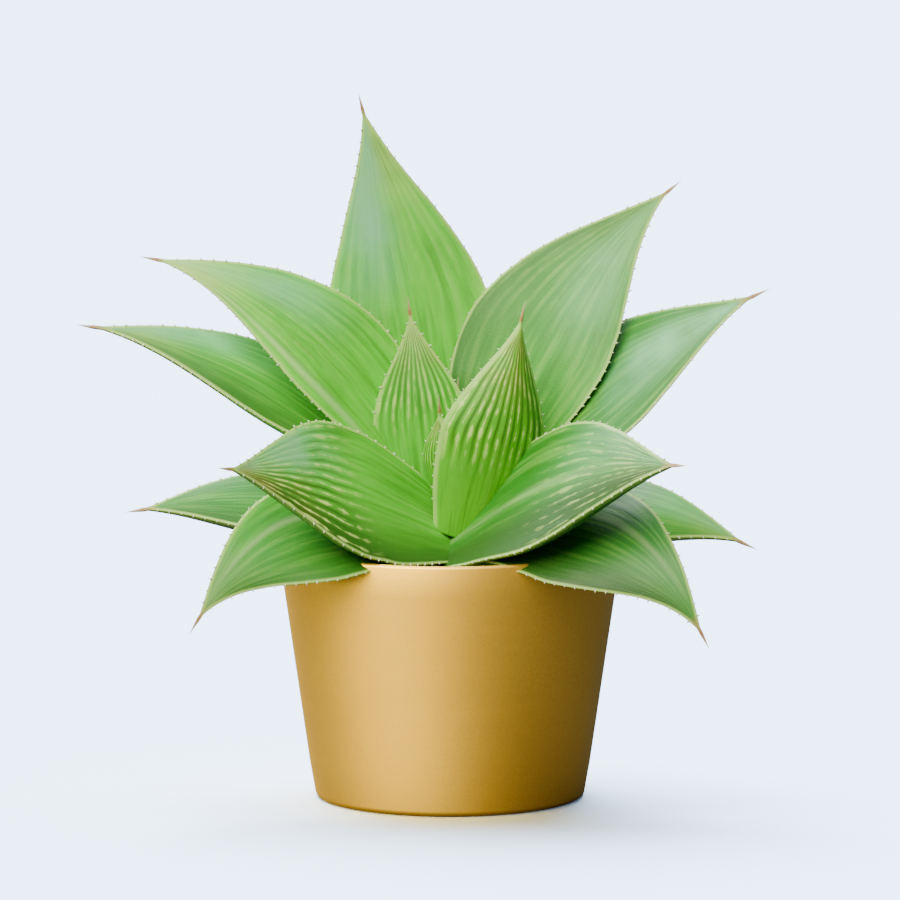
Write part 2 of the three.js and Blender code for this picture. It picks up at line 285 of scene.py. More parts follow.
def makeLeafTree():
    form = leafForm
    tree, node, given = newTree("haworthiaLeaf", leafInputs)

    # The leaf is laid out flat first: X runs from base to bristle, Y goes once round the section.
    flat = node("MeshGrid", 1.0, 1.0, form["rings"], form["around"])
    flatAt = node("SeparateXYZ", node("InputPosition")).outputs
    run = node("Math ADD", flatAt["X"], 0.5)
    turn = node("Math ADD", flatAt["Y"], 0.5)
    bladeShare = 1 - form["bristleShare"]
    onBlade = node("Math DIVIDE", run, bladeShare, use_clamp=True)
    beyond = node("MapRange", run, bladeShare)

    # Middle line: a Bezier through the four given points, and its direction.
    curve = [given[name] for name in ("Seat", "Seat Handle", "Tip Handle", "Tip")]
    while len(curve) > 1:
        early, late = curve[0], curve[-1]
        curve = [node("Mix", onBlade, {4: near, 5: far}, data_type="VECTOR")
                 for near, far in zip(curve, curve[1:])]
    along = node("VectorMath NORMALIZE", node("VectorMath SUBTRACT", late, early))
    reach = node("Math MULTIPLY", beyond, form["bristleLength"])
    bristle = node("VectorMath SCALE", along, {"Scale": reach})
    centre = node("VectorMath ADD", curve[0], bristle)

    # Across and up directions, rolled about the middle line.
    angles = []
    for name in ("Heading", "Roll"):
        angle = node("Mix", onBlade, {2: given[name + " At Base"], 3: given[name + " At Tip"]})
        angles.append(node("Math RADIANS", angle))
    facing, roll = angles
    southing = node("Math MULTIPLY", node("Math COSINE", facing), -1.0)
    level = node("CombineXYZ", node("Math SINE", facing), southing)
    faceUp = node("VectorMath NORMALIZE", node("VectorMath CROSS_PRODUCT", level, along))
    acrossLevel = node("VectorMath CROSS_PRODUCT", along, faceUp)
    rolled = {"Axis": along, "Angle": node("Math MULTIPLY", roll, -1.0)}
    side = node("VectorRotate", acrossLevel, rolled)
    up = node("VectorRotate", faceUp, rolled)

    # Fullness: it grows to the widest place and then runs out to the point.
    swelling = node("Math DIVIDE", onBlade, form["widestAt"], use_clamp=True)
    grown = node("Math SINE", node("Math MULTIPLY", swelling, math.pi / 2))
    past = node("MapRange", onBlade, form["widestAt"])
    power = node("Math POWER", past, form["pointedness"])
    straight = node("MapRange", power, 0.0, 1.0, 0.5, 0.0)
    bend = node("Math COSINE", node("Math MULTIPLY", past, math.pi))
    bent = node("MapRange", bend, -1.0, 1.0, 0.0, 0.5)
    running = node("Math ADD", straight, bent)
    wideBase = node("Mix", grown, {2: given["Base Share"], 3: 1.0})
    wide = node("Math MULTIPLY", wideBase, running)
    deepBase = node("Mix", grown, {2: form["baseDepth"], 3: 1.0})
    deep = node("Math MULTIPLY", deepBase, running)
    deepShare = node("Math POWER", deep, form["depthPower"])

    # The margin wanders a little, each side by itself.
    turning = node("Math MULTIPLY", turn, math.tau)
    across = node("Math COSINE", turning)
    rising = node("Math SINE", turning)
    runLength = node("Math MULTIPLY", onBlade, given["Length"])
    dentRun = node("Math DIVIDE", runLength, form["dentSize"])
    drawnAt = node("CombineXYZ", dentRun, across, given["Seed"])
    wander = node("TexNoise", drawnAt, {"Scale": 1.0, "Detail": 2.0})
    wanderShare = node("MapRange", wander, *form["wanderFade"], 1 - form["marginWander"], 1.0)
    thin = node("Math SUBTRACT", 1.0, beyond)
    needle = node("Math MULTIPLY", thin, form["bristleRadius"])
    halfWidth = node("Math MULTIPLY", given["Width"], 0.5)
    for share in (wide, wanderShare):
        halfWidth = node("Math MULTIPLY", halfWidth, share)
    halfWidth = node("Math MAXIMUM", halfWidth, needle)
    bladeDepth = node("Math MULTIPLY", given["Thickness"], deepShare)
    needleDepth = node("Math MULTIPLY", needle, 2.0)
    depth = node("Math MAXIMUM", bladeDepth, needleDepth)

    # Upper face: a shallow channel at the base that swells to a crown, with fine ribs.
    crownRun = node("Math POWER", onBlade, form["crownPower"])
    crownSine = node("Math SINE", node("Math MULTIPLY", crownRun, math.pi))
    crown = node("Math MULTIPLY", crownSine, form["crown"])
    channel = node("MapRange", onBlade, 0.0, 1.0, form["channel"], 0.0)
    swell = node("Math SUBTRACT", crown, channel)
    fullWidth = node("Math MULTIPLY", halfWidth, 2.0)
    crownHeight = node("Math MULTIPLY", swell, fullWidth)
    inward = node("Math MULTIPLY", rising, rising)
    body = node("Math MULTIPLY", crownHeight, inward)
    ribTurn = node("Math MULTIPLY", across, math.pi * form["ribs"])
    ribSize = node("Math MULTIPLY", wide, form["ribHeight"])
    ribs = node("Math COSINE", ribTurn)
    for share in (ribSize, inward):
        ribs = node("Math MULTIPLY", ribs, share)
    edgeRound = node("Math ABSOLUTE", rising)
    edgeSize = node("Math MULTIPLY", form["edge"], wide)
    edge = node("Math MULTIPLY", edgeRound, edgeSize)
    top = node("Math ADD", body, edge)
    top = node("Math ADD", top, ribs)

    # Back: a full round with some keel in it.
    outward = node("Math ABSOLUTE", across)
    roundPower = node("Math POWER", outward, form["roundPower"])
    roundRest = node("Math SUBTRACT", 1.0, roundPower, use_clamp=True)
    roundShare = node("Math POWER", roundRest, form["roundRoot"])
    wedge = node("Math SUBTRACT", 1.0, outward, use_clamp=True)
    backShare = node("Mix", form["keel"], {2: roundShare, 3: wedge})
    back = node("Math MULTIPLY", backShare, depth)
    back = node("Math MULTIPLY", back, -1.0)
    isTop = node("Math GREATER_THAN", rising, 0.0)
    height = node("Mix", isTop, {2: back, 3: top})

    # Broad dents bend the whole blade a little.
    dentNoise = node("TexNoise", drawnAt, {"Scale": form["dentScale"], "Detail": 1.0})
    dentSize = node("Math MULTIPLY", wide, form["dents"])
    dentHeight = node("Math SUBTRACT", dentNoise, 0.5)
    dents = node("Math MULTIPLY", dentHeight, dentSize)
    height = node("Math ADD", height, dents)

    # The first ring closes on the middle line, and the rest take their places.
    ringRun = float(form["rings"] - 1)
    closing = node("Math MULTIPLY", run, ringRun, use_clamp=True)
    there = centre
    sideways = node("Math MULTIPLY", across, halfWidth)
    for direction, distance in ((side, sideways), (up, height)):
        distance = node("Math MULTIPLY", distance, closing)
        step = node("VectorMath SCALE", direction, {"Scale": distance})
        there = node("VectorMath ADD", there, step)

    # The material also reads the place on the leaf: across, along and which face, and the sizes there.
    alongLeaf = node("Math ADD", onBlade, beyond)
    notes = {
        "leafPlace": node("CombineXYZ", across, alongLeaf, isTop),
        "leafSize": node("CombineXYZ", halfWidth, runLength, beyond),
    }
    blade = flat
    for name, value in notes.items():
        blade = node("StoreNamedAttribute", blade, {"Name": name, "Value": value}, **vector)
    blade = node("SetPosition", blade, {"Position": there})
    blade = node("MergeByDistance", blade, {"Distance": form["weld"]})
    blade = node("SetShadeSmooth", blade)

    # Teeth stand on both margins and lean towards the tip.
    fromX = form["firstTooth"] * bladeShare - 0.5
    toX = form["lastTooth"] * bladeShare - 0.5
    rooted = node("JoinGeometry")
    for rowY in (-0.5, 0.0):
        feed(rooted, node("MeshLine", {
            "Count": given["Teeth"], "Start Location": (fromX, rowY, 0), "Offset": (toX, rowY, 0)},
            mode="END_POINTS"))
    away = node("VectorMath SCALE", side, {"Scale": across})
    lean = node("VectorMath SCALE", along, {"Scale": form["toothLean"]})
    notes["pointing"] = node("VectorMath ADD", away, lean)
    notes["facing"] = up
    for name, value in notes.items():
        rooted = node("StoreNamedAttribute", rooted, {"Name": name, "Value": value}, **vector)
    rooted = node("StoreNamedAttribute", rooted, {"Name": "tooth", "Value": 1.0})
    rooted = node("SetPosition", rooted, {"Position": there})
    cone = node("MeshCone", {
        "Vertices": 6, "Side Segments": 2, "Radius Top": form["toothPoint"],
        "Radius Bottom": form["toothRadius"], "Depth": form["toothHeight"]})
    cone = node("Transform", cone, {"Translation": (0, 0, -form["toothRoot"])})
    cone = node("SetShadeSmooth", cone)
    pointed = node("InputNamedAttribute", {"Name": "pointing"}, **vector)
    faced = node("InputNamedAttribute", {"Name": "facing"}, **vector)
    stance = node("AxesToRotation", pointed, faced, primary_axis="Z", secondary_axis="X")
    smallest, largest = form["toothSizes"]
    sizes = node("RandomValue", {2: smallest, 3: largest, "Seed": 5})
    teeth = node("InstanceOnPoints", rooted, {
        "Instance": cone, "Rotation": stance, "Scale": sizes.outputs[1]})
    teeth = node("RealizeInstances", teeth)

    whole = node("JoinGeometry", teeth)
    feed(whole, blade)
    for name, labels in leafNotes.items():
        value = node("CombineXYZ", *(given[label] for label in labels))
        whole = node("StoreNamedAttribute", whole, {"Name": name, "Value": value}, **vector)
    whole = node("RealizeInstances", whole)
    node("GroupOutput", node("SetMaterial", whole, {"Material": given["Material"]}))
    return tree


def compass(azimuth, rise):  # a unit vector along a compass direction at a slope, in degrees
    a, e = math.radians(azimuth), math.radians(rise)
    return Vector((math.cos(a) * math.cos(e), math.sin(a) * math.cos(e), math.sin(e)))


def leafLine(leaf):  # the four points of the leaf's middle line, in metres
    seat = compass(leaf["seat"][0], 0) * (leaf["seatRadius"] * mm) + Vector((0, 0, leaf["seat"][1] * mm))
    length = leaf["size"][0] * mm
    out = compass(leaf["heading"][0], leaf["rise"][0])
    middle = compass(sum(leaf["heading"]) / 2, sum(leaf["rise"]) / 2)
    end = compass(leaf["heading"][1], leaf["rise"][1])
    halfBend = max(out.angle(end) / 2, 0.001)
    tip = seat + middle * (length * math.sin(halfBend) / halfBend)
    handle = seat + out * (length / 3)
    tuck = Vector((0, 0, leaf["tuck"] * mm))
    return seat - tuck, handle - tuck / 2, tip - end * (length / 3), tip


# Haworthia leaf: a fleshy blade under a thin waxy skin. A painted sheen, a pale bluish colour, stands for the
# sky's reflection in that skin; the flesh lets light through at the margin, and clear streaks between pale
# flecks are the windows of the young leaves.
leafLook = {
    # Of these colours, the pale bluish green laid on by the sheen band is painted sheen, the shade green is
    # painted shade, the stripe green is a painted highlight, and the old green is both the colour of age and
    # painted shade.
    "base": "#50b81c", "between": {0.35: "#5fd228", 0.72: "#69d83a"}, "end": "#ceee84",
    "deep": "#41a21c", "vein": "#2f7412", "veinPale": "#9bdf5c", "paintedSheen": "#7dd494", "old": "#227c1e",
    "under": "#68c81e", "underPale": "#86cc40",
    "window": "#2c6410", "fleck": "#cdf07c", "blush": "#8b6a36", "margin": "#b4e26e", "tooth": "#d9e9b4",
    "stripe": "#b3da8c", "shade": "#2c5c16", "dryTip": "#a98250", "bristle": "#d6c49c",
    "windowRows": 12.0,      # two for each row of flecks across half the leaf
    "rowShift": 3.7,         # keeps the flecks of neighbouring rows apart
    "windowOpening": 0.2,    # over what share of the length the windows open
    "fleckLength": 2.6 * mm, "fleckFullness": 0.6, "rowBend": 7.143 * mm,
    "veins": 13.0,           # fine veins across half the leaf
    "veinLength": 16 * mm, "cloud": 9.524 * mm, "skinGrain": 0.35 * mm, "patch": 12 * mm,
    # The darkening of the oldest leaves is partly age and partly painted shade.
    "oldest": 0.9,           # how far the oldest leaf has turned dark
    "sheenBandReach": (0.75, 0.3), "sheenBandCore": 0.1, "stripeWidth": 0.24,
    "roughness": (0.36, 0.54), "ior": 1.36, "sheen": (0.03, 0.4),
    "subsurface": 0.2, "subsurfaceRadius": (0.7, 1.0, 0.25), "subsurfaceDepth": 1.6 * mm,
    "bump": 0.7, "relief": 0.16 * mm, "grainShare": 0.35, "fleckRelief": 0.5,
}

# Each fade: between which two values it runs and, where that isn't from none to all, what it gives there.
leafFades = {
    "deep": (0.46, 0.66, 0, 0.5), "vein": (0.5, 0.7, 0, 0.45), "veinPale": (0.5, 0.32, 0, 0.3),
    "sheenBandRise": (0.42, 0.74), "cloud": (0.3, 0.62, 0.35), "stripeEnd": (0.95, 0.6), "shade": (-0.05, 0.55),
    "rowBend": (0, 1, -0.7, 0.7), "fleck": (0.92, 1.12), "streak": (0.6, 0.1, 0, 0.8),
    "windowEnd": (0.98, 0.88), "blush": (0.42, 0.6, 0, 0.5), "blushRise": (0.6, 0.95),
    "keel": (0.14, 0, 0, 0.4), "underTip": (0.5, 1, 0, 0.6), "margin": (0.75 * mm, 0.25 * mm, 0, 0.8),
    "dryFrom": (0, 1, 0.98, 0.94),
}


def makeLeafMaterial():
    look, fade = leafLook, leafFades
    material, node = newMaterial("waxyLeafSkin")
    here = node("TexCoord").outputs["Object"]
    read = {}
    for name in ("leafPlace", "leafSize", *leafNotes):
        attribute = node("Attribute", attribute_name=name)
        read[name] = node("SeparateXYZ", attribute.outputs["Vector"]).outputs
    across, along, isTop = read["leafPlace"]
    halfWidth, runLength, inBristle = read["leafSize"]
    windows, age, seed = read["leafKind"]
    sheenBandAt, sheenBand, windowsFrom = read["leafBloom"]
    stripeAt, stripe, darkness = read["leafStripe"]
    inTooth = node("Attribute", attribute_name="tooth").outputs["Fac"]
    outward = node("Math ABSOLUTE", across)

    # Green from base to tip.
    green = node("ValToRGB", along)
    stops = green.color_ramp.elements
    stops[0].color, stops[1].color = linear(look["base"]), linear(look["end"])
    for position, shade in look["between"].items():
        stops.new(position).color = linear(shade)

    # Deeper patches about 1 cm across, and dark and pale veins that run from base to tip.
    patch = node("TexNoise", here, {"Scale": 1 / look["patch"], "Detail": 3.0})
    deep = node("MapRange", patch, *fade["deep"])
    # Darkening with age, which on the leaves that sit in shade is also painted shade.
    ageAndShade = node("Math MULTIPLY", age, look["oldest"])
    veinAcross = node("Math MULTIPLY", across, look["veins"])
    veinAlong = node("Math MULTIPLY", runLength, 1 / look["veinLength"])
    veinAt = node("CombineXYZ", veinAcross, veinAlong, seed)
    veinNoise = node("TexNoise", veinAt, {"Scale": 1.0, "Detail": 3.0})
    veins = node("MapRange", veinNoise, *fade["vein"])
    paleVeins = node("MapRange", veinNoise, *fade["veinPale"])

    # Painted sheen: a pale bluish colour that stands for the sky's reflection in the waxy skin. It lies
    # thickest along one side of the leaf and towards the tip, in soft clouds.
    besideSheenBand = node("Math ABSOLUTE", node("Math SUBTRACT", across, sheenBandAt))
    sheenBandReach = node("Math MULTIPLY_ADD", along, *look["sheenBandReach"])
    sheenBandWidth = node("MapRange", besideSheenBand, sheenBandReach, look["sheenBandCore"], **smooth)
    sheenBandRise = node("MapRange", along, *fade["sheenBandRise"], **smooth)
    cloud = node("TexNoise", here, {"Scale": 1 / look["cloud"], "Detail": 4.0})
    paintedSheen = sheenBand
    for share in (sheenBandWidth, sheenBandRise, node("MapRange", cloud, *fade["cloud"])):
        paintedSheen = node("Math MULTIPLY", paintedSheen, share)

    # A narrow pale stripe, a painted highlight along the ridge where the face turns, that runs out from the
    # base on the leaves that have one.
    besideStripe = node("Math ABSOLUTE", node("Math SUBTRACT", across, stripeAt))
    stripeEdge = node("Math MULTIPLY", veinNoise, look["stripeWidth"])
    stripeShare = node("MapRange", besideStripe, stripeEdge, 0.0, **smooth)
    for share in (node("MapRange", along, *fade["stripeEnd"]), stripe):
        stripeShare = node("Math MULTIPLY", stripeShare, share)

    # Painted shade: one half of the leaf is darker than the other, on the leaves whose one half is turned
    # away from the light or shaded by a neighbour.
    darkSide = node("Math MULTIPLY", across, darkness)
    shade = node("MapRange", darkSide, *fade["shade"], **smooth)

    # Windows: rows of pale flecks with clear dark streaks between them, in the outer part of the leaf.
    bendNoise = node("TexNoise", here, {"Scale": 1 / look["rowBend"], "Detail": 2.0})
    bend = node("MapRange", bendNoise, *fade["rowBend"])
    rows = node("Math MULTIPLY_ADD", across, look["windowRows"], bend)
    inRow = node("Math PINGPONG", rows, 1.0)
    rowShift = node("Math MULTIPLY", node("Math ROUND", rows), look["rowShift"])
    fleckRun = node("Math MULTIPLY", runLength, 1 / look["fleckLength"])
    fleckAt = node("CombineXYZ", rowShift, fleckRun, seed)
    fleckNoise = node("TexNoise", fleckAt, {"Scale": 1.0, "Detail": 2.0})
    fleckRow = node("Math MULTIPLY_ADD", inRow, look["fleckFullness"], fleckNoise)
    fleck = node("MapRange", fleckRow, *fade["fleck"], **smooth)
    streak = node("MapRange", inRow, *fade["streak"], **smooth)
    windowFull = node("Math ADD", windowsFrom, look["windowOpening"])
    windowStart = node("MapRange", along, windowsFrom, windowFull)
    windowEnd = node("MapRange", along, *fade["windowEnd"])
    window = windows
    for share in (windowStart, windowEnd, node("Math SUBTRACT", 1.0, paintedSheen)):
        window = node("Math MULTIPLY", window, share)
    clearShare = node("Math MULTIPLY", window, streak)
    fleckShare = node("Math MULTIPLY", window, fleck)
    blush = node("MapRange", cloud, *fade["blush"])
    for share in (node("MapRange", along, *fade["blushRise"]), windows):
        blush = node("Math MULTIPLY", blush, share)

    # Upper face, with the painted sheen, the painted shade and the painted highlight of the stripe.
    upper = green
    for share, name in ((deep, "deep"), (ageAndShade, "old"), (paleVeins, "veinPale"), (veins, "vein"), (paintedSheen, "paintedSheen"),
                        (shade, "shade"), (stripeShare, "stripe")):
        upper = node("Mix", share, {6: upper, 7: linear(look[name])}, **rgba)

    # Back of the leaf: fresher green, paler along the keel and towards the tip.
    keel = node("MapRange", outward, *fade["keel"])
    underTip = node("MapRange", along, *fade["underTip"])
    under = linear(look["under"])
    for share, name in ((keel, "underPale"), (underTip, "underPale"), (ageAndShade, "old"), (deep, "deep"),
                        (veins, "vein")):
        under = node("Mix", share, {6: under, 7: linear(look[name])}, **rgba)

    # Both faces, then the pale margin, the teeth, the dry tip and the bristle.
    edgeDistance = node("Math MULTIPLY", node("Math SUBTRACT", 1.0, outward), halfWidth)
    margin = node("MapRange", edgeDistance, *fade["margin"], **smooth)
    dryFrom = node("MapRange", age, *fade["dryFrom"])
    dry = node("MapRange", along, dryFrom, 1.0)
    colour = node("Mix", isTop, {6: under, 7: upper}, **rgba)
    for share, name in ((clearShare, "window"), (fleckShare, "fleck"), (blush, "blush"), (margin, "margin"),
                        (inTooth, "tooth"), (dry, "dryTip"), (inBristle, "bristle")):
        colour = node("Mix", share, {6: colour, 7: linear(look[name])}, **rgba)

    # Skin: fine grain, veins in low relief, raised flecks, and a gloss that varies from patch to patch.
    grain = node("TexNoise", here, {"Scale": 1 / look["skinGrain"], "Detail": 2.0})
    relief = node("Mix", look["grainShare"], {2: veinNoise, 3: grain})
    raised = node("Math MULTIPLY_ADD", fleckShare, look["fleckRelief"], relief)
    bump = node("Bump", {"Height": raised, "Strength": look["bump"], "Distance": look["relief"]})
    rough = node("Mix", patch, {2: look["roughness"][0], 3: look["roughness"][1]})
    feed(material.node_tree.nodes["Principled BSDF"], {
        "Base Color": colour, "Roughness": rough, "Normal": bump,
        "Subsurface Weight": look["subsurface"], "Subsurface Radius": look["subsurfaceRadius"],
        "Subsurface Scale": look["subsurfaceDepth"], "IOR": look["ior"],
        "Sheen Weight": look["sheen"][0], "Sheen Roughness": look["sheen"][1]})
    return material


leafTree = makeLeafTree()
leafMaterial = makeLeafMaterial()
for number, (nodeName, ownLeaf) in enumerate(leaves.items()):
    leaf = {**usualLeaf, **ownLeaf}
    seat, seatHandle, tipHandle, tip = leafLine(leaf)
    length, width, thickness = (value * mm for value in leaf["size"])
    toothRun = length * (leafForm["lastTooth"] - leafForm["firstTooth"])
    blade = growPiece("haworthiaLeaf" + nodeName[-2:], leafTree, {
        "Seat": seat, "Seat Handle": seatHandle, "Tip Handle": tipHandle, "Tip": tip,
        "Heading At Base": float(leaf["heading"][0]), "Heading At Tip": float(leaf["heading"][1]),
        "Roll At Base": float(leaf["roll"][0]), "Roll At Tip": float(leaf["roll"][1]),
        "Length": length, "Width": width, "Thickness": thickness, "Base Share": leaf["base"],
        "Teeth": round(toothRun / leafForm["toothPitch"]),
        "Windows": leaf["windows"][0], "Windows From": leaf["windows"][1], "Age": leaf["age"],
        "SheenBand At": leaf["sheenBand"][0], "SheenBand": leaf["sheenBand"][1],
        "Stripe At": leaf["stripe"][0], "Stripe": leaf["stripe"][1], "Shade": leaf["shade"],
        "Seed": number * 7.3 + 2,  # far enough apart for each leaf to have its own dents and veins
        "Material": leafMaterial,
    })
    place(blade, nodeName if nodeName.startswith("leaf") else None)
print("leaves grown:", len(leaves))


# Gold-coloured sheet steel, spun to shape and lacquered: a satin metal with a fine grain round the pot.
pot = {
    "height": 44.5, "rimRadius": 30, "footRadius": 23.5, "wall": 1, "wallLean": 8, "footInset": 0.4,
    "footRounding": 1.2, "innerInset": 0.6, "innerRise": 1,
    "segments": 256, "wallSteps": 8, "footSteps": 8, "lipSteps": 12,
    "gold": "#f9ce5a", "goldDeep": "#f1ba4c",
    "grain": 0.12 * mm, "grainLength": 16.67 * mm, "speckle": 0.35 * mm, "cloud": 18.18 * mm,
    "cloudFade": (0.35, 0.7, 0, 0.3), "grainFade": (0.3, 0.7, 0, 0.25), "speckleFade": (0.45, 0.65, 0, 0.6),
    "roughness": (0.48, 0.58), "bump": 0.2, "relief": 0.05 * mm,
}


def makePotMaterial():
    material, node = newMaterial("lacqueredGoldSteel")
    here = node("TexCoord").outputs["Object"]
    stretch = (1 / pot["grainLength"], 1 / pot["grainLength"], 1 / pot["grain"])
    stretched = node("Mapping", {"Vector": here, "Scale": stretch})
    grain = node("TexNoise", stretched, {"Scale": 1.0, "Detail": 3.0})
    speckle = node("TexNoise", here, {"Scale": 1 / pot["speckle"], "Detail": 2.0})
    cloud = node("TexNoise", here, {"Scale": 1 / pot["cloud"], "Detail": 3.0})
    colour = linear(pot["gold"])
    for pattern, fade in ((cloud, "cloudFade"), (grain, "grainFade"), (speckle, "speckleFade")):
        share = node("MapRange", pattern, *pot[fade])
        colour = node("Mix", share, {6: colour, 7: linear(pot["goldDeep"])}, **rgba)
    rough = node("Mix", grain, {2: pot["roughness"][0], 3: pot["roughness"][1]})
    height = node("Mix", 0.5, {2: grain, 3: speckle})
    bump = node("Bump", {"Height": height, "Strength": pot["bump"], "Distance": pot["relief"]})
    feed(material.node_tree.nodes["Principled BSDF"], {
        "Base Color": colour, "Roughness": rough, "Normal": bump, "Metallic": 1.0})
    return material


def potRadius(height):
    return pot["footRadius"] + (pot["rimRadius"] - pot["footRadius"]) * height / pot["height"]


lip = pot["wall"] / 2
lipHeight = pot["height"] - lip
rounding = pot["footRounding"]
profile = [(0, 0), (pot["footRadius"] - rounding - pot["footInset"], 0)]
profile += arc(pot["footRadius"] - rounding, rounding, rounding, -90, -pot["wallLean"], pot["footSteps"])
for step in range(1, pot["wallSteps"]):
    height = rounding + (lipHeight - rounding) * step / pot["wallSteps"]
    profile.append((potRadius(height), height))
profile += arc(potRadius(lipHeight) - lip, lipHeight, lip, 0, 180, pot["lipSteps"])
for step in range(1, pot["wallSteps"]):
    height = lipHeight + (pot["wall"] + pot["innerRise"] - lipHeight) * step / pot["wallSteps"]
    profile.append((potRadius(height) - pot["wall"], height))
profile += [(potRadius(pot["wall"]) - pot["wall"] - pot["innerInset"], pot["wall"]), (0, pot["wall"])]
potPiece = turnedPiece("spunPot", profile, pot["segments"], makePotMaterial())
place(potPiece, "pot")
print("pot turned")


# Potting mix: dark peat with bark in it, pressed uneven, with loose crumbs on top.
soil = {
    "top": 37.5, "clearance": 0.3, "holeRadius": 5.3, "holeDepth": 9.8, "segments": 96, "topRings": 16,
    "footInset": 0.5, "shoulder": 0.3, "shoulderDrop": 0.6,
    "headroom": 0.2, "unevenness": 0.5, "lumps": 2.6,  # the top is pressed into lumps within its headroom
    "peat": "#2d2119", "bark": "#5a4230", "barkSize": 2.381 * mm, "barkFade": (0.48, 0.7),
    "grain": 0.5 * mm, "roughness": (0.85, 1.0), "bump": 0.8, "relief": 0.3 * mm,
}


def makeSoilMaterial():
    material, node = newMaterial("pottingMix")
    here = node("TexCoord").outputs["Object"]
    lumps = node("TexNoise", here, {"Scale": 1 / soil["barkSize"], "Detail": 4.0})
    share = node("MapRange", lumps, *soil["barkFade"])
    colour = node("Mix", share, {6: linear(soil["peat"]), 7: linear(soil["bark"])}, **rgba)
    grainedSkin(material, node, here, colour, soil)
    return material


soilMaterial = makeSoilMaterial()
soilGap = pot["wall"] + soil["clearance"]  # from the pot's outside
soilOuter = potRadius(soil["top"]) - soilGap
soilFlat = soil["top"] - soil["headroom"]
soilEdge = soilOuter - soil["shoulder"]
profile = [(0, soilGap), (potRadius(soilGap) - soilGap - soil["footInset"], soilGap)]
profile += [(soilOuter, soil["top"] - soil["shoulderDrop"]), (soilEdge, soilFlat)]
for step in range(1, soil["topRings"] + 1):
    profile.append((soilEdge + (soil["holeRadius"] - soilEdge) * step / soil["topRings"], soilFlat))
profile += [(soil["holeRadius"], soil["top"] - soil["holeDepth"]), (0, soil["top"] - soil["holeDepth"])]
soilPiece = turnedPiece("pottingSoil", profile, soil["segments"], soilMaterial)
for vertex in soilPiece.data.vertices:
    spot = vertex.co / (soil["lumps"] * mm)
    if abs(vertex.co.z / mm - soilFlat) < 0.01:
        vertex.co.z += min(noise.noise(spot) * soil["unevenness"], soil["headroom"]) * mm
place(soilPiece, "soil")


# Loose stones or crumbs: pebbles of two sizes on a ring-shaped bed, each worn to its own shape.
pebbleInputs = {
    "Inner Radius": "Float", "Outer Radius": "Float", "Bed Height": "Float",
    "Large Stones": "Int", "Large Size": "Float", "Small Size": "Float", "Spacing": "Float",
    "Layers": "Int", "Seed": "Int", "Material": "Material",
}
pebbleForm = {
    "turnStep": math.radians(137.508),  # each large stone lies one golden angle further round
    "stand": 0.25,                      # how far a large stone's middle stands out of the bed
    "density": 900000.0, "sizes": (0.72, 1.12), "flattest": (1.0, 0.72, 0.58), "fullest": (1.0, 0.95, 0.8),
    "tip": math.radians(22), "hollows": 2.381 * mm, "wearFade": (0.25, 0.75, -0.35, 0.08),
}


